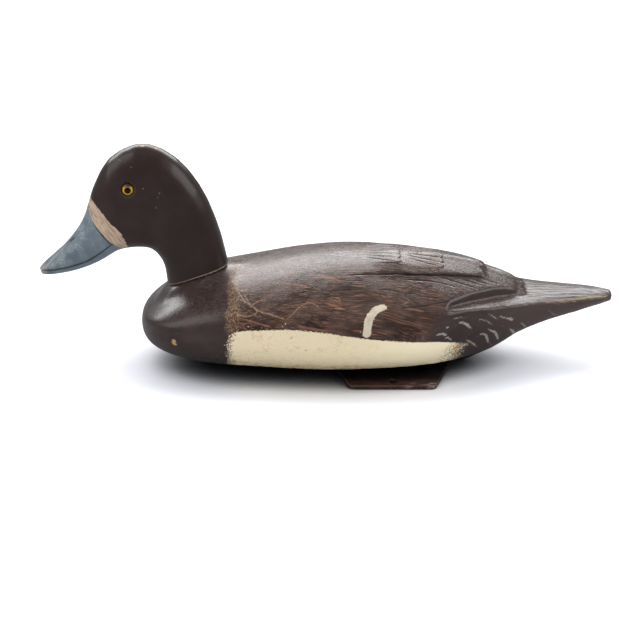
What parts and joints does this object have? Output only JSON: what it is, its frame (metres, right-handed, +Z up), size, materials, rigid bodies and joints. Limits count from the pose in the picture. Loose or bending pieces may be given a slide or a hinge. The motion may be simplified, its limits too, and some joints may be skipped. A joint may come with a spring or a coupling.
{
  "type": "duck decoy",
  "caption": "Carved and painted wooden hen duck decoy with glass eyes, standing on its underside with a rusty iron keel plate folded out to its left side on a hinge.",
  "frame": {"origin": "on the floor, under the middle of the decoy's length and width", "axes": "+X from bill to tail, +Y to the duck's right, +Z up"},
  "size_m": [0.38, 0.15, 0.1489],
  "materials": {
    "painted_body": "old oil paint on wood, dark brown with reddish feather strokes and a cream flank, satin, worn on edges",
    "painted_head": "old oil paint on wood, dark brown with a streaky beige blaze and a blue-grey bill, satin",
    "eye_glass": "clear glass over a yellow iris and a black pupil",
    "keel_iron": "rusty, dark brown, dull"
  },
  "bodies": {
    "decoy": {"body": "painted_body", "head": "painted_head", "eye_left": "eye_glass", "eye_right": "eye_glass", "keel_staple_front": "keel_iron", "keel_staple_rear": "keel_iron"},
    "keel": {"keel_plate": "keel_iron"}
  },
  "joints": [
    {"name": "keel_swing", "type": "hinge", "parent": "decoy", "child": "keel", "pos_m": [0.0435, 0, 0.0038], "axis": [1, 0, 0], "range_deg": [0, 88]}
  ]
}
